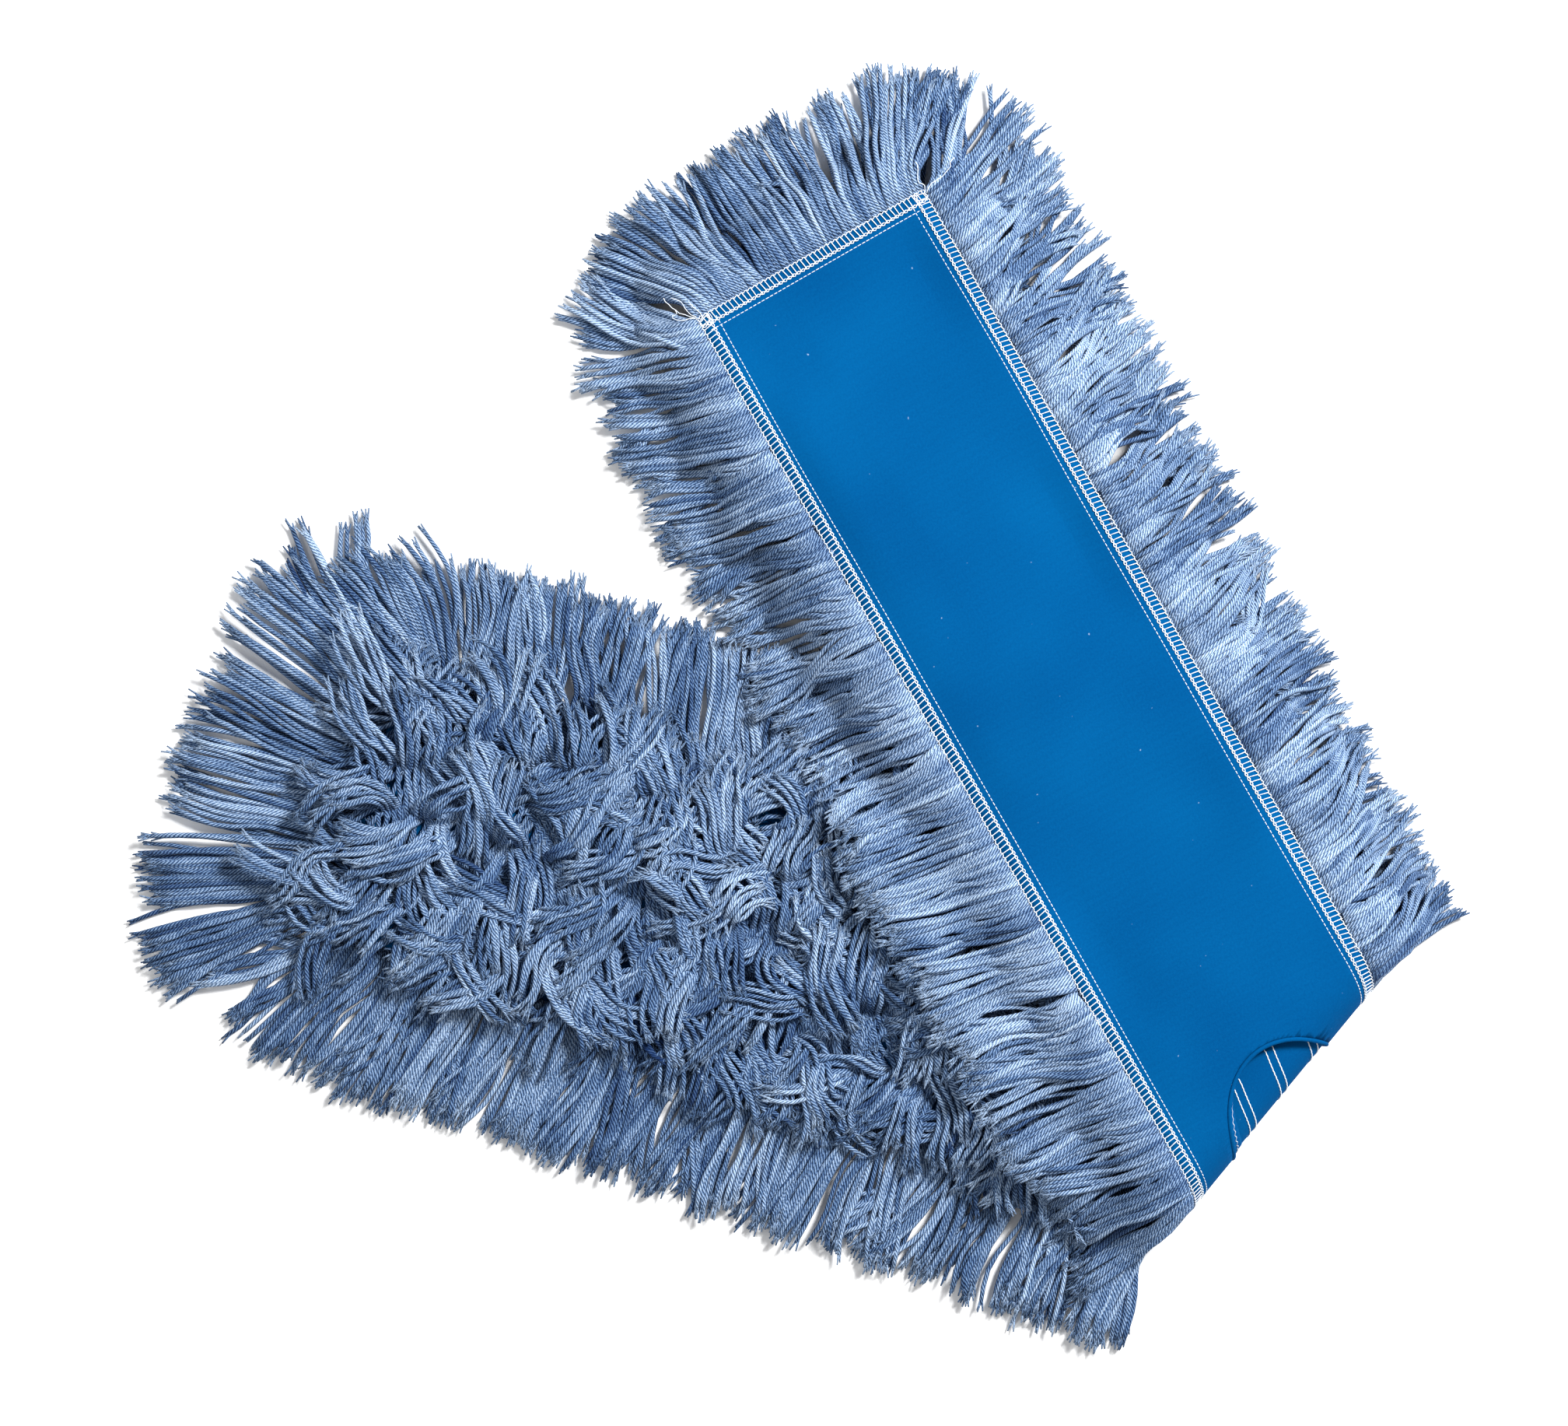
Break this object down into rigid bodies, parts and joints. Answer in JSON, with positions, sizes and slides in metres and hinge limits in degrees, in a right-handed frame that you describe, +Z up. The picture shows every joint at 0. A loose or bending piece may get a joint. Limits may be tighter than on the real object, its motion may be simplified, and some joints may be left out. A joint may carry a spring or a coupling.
{
  "type": "string dust mop head",
  "caption": "Flat cut-end yarn dust mop head with a blue twill frame pocket, folded across its middle so that its yarn side shows beside its pocket side.",
  "frame": {"origin": "on the floor under the middle of the folded head's bounding box", "axes": "+Z up; the open lower half runs along -X from the fold, the upper half runs 138 degrees round from +X"},
  "size_m": [0.6112, 0.6071, 0.044],
  "materials": {
    "blue_twill": "fine matt cotton twill, mid blue",
    "blue_yarn": "twisted slate blue cut-end yarn, heathered",
    "white_thread": "white spun sewing thread"
  },
  "bodies": {
    "lower_half": {"pocket_cloth_lower": "blue_twill", "base_cloth_lower": "blue_twill", "slot_hem_lower": "blue_twill", "slot_zigzag_lower": "white_thread", "overlock_left_lower": "white_thread", "overlock_right_lower": "white_thread", "overlock_end_lower": "white_thread", "topstitch_left_lower": "white_thread", "topstitch_right_lower": "white_thread", "topstitch_end_lower": "white_thread", "row_stitches_lower": "white_thread", "fringe_left_lower": "blue_yarn", "fringe_right_lower": "blue_yarn", "fringe_end_lower": "blue_yarn", "tuft_row_1_lower": "blue_yarn", "tuft_row_2_lower": "blue_yarn", "tuft_row_3_lower": "blue_yarn", "tuft_row_4_lower": "blue_yarn", "tuft_row_5_lower": "blue_yarn"},
    "upper_half": {"pocket_cloth_upper": "blue_twill", "base_cloth_upper": "blue_twill", "slot_hem_upper": "blue_twill", "slot_zigzag_upper": "white_thread", "overlock_left_upper": "white_thread", "overlock_right_upper": "white_thread", "overlock_end_upper": "white_thread", "topstitch_left_upper": "white_thread", "topstitch_right_upper": "white_thread", "topstitch_end_upper": "white_thread", "row_stitches_upper": "white_thread", "fringe_left_upper": "blue_yarn", "fringe_right_upper": "blue_yarn", "fringe_end_upper": "blue_yarn", "tuft_row_1_upper": "blue_yarn", "tuft_row_2_upper": "blue_yarn", "tuft_row_3_upper": "blue_yarn", "tuft_row_4_upper": "blue_yarn", "tuft_row_5_upper": "blue_yarn"}
  },
  "joints": [
    {"name": "centre_fold", "type": "hinge", "parent": "lower_half", "child": "upper_half", "pos_m": [0.25295, -0.15799, 0.0225], "axis": [0.3584, 0.9336, 0], "range_deg": [0, 179]}
  ]
}
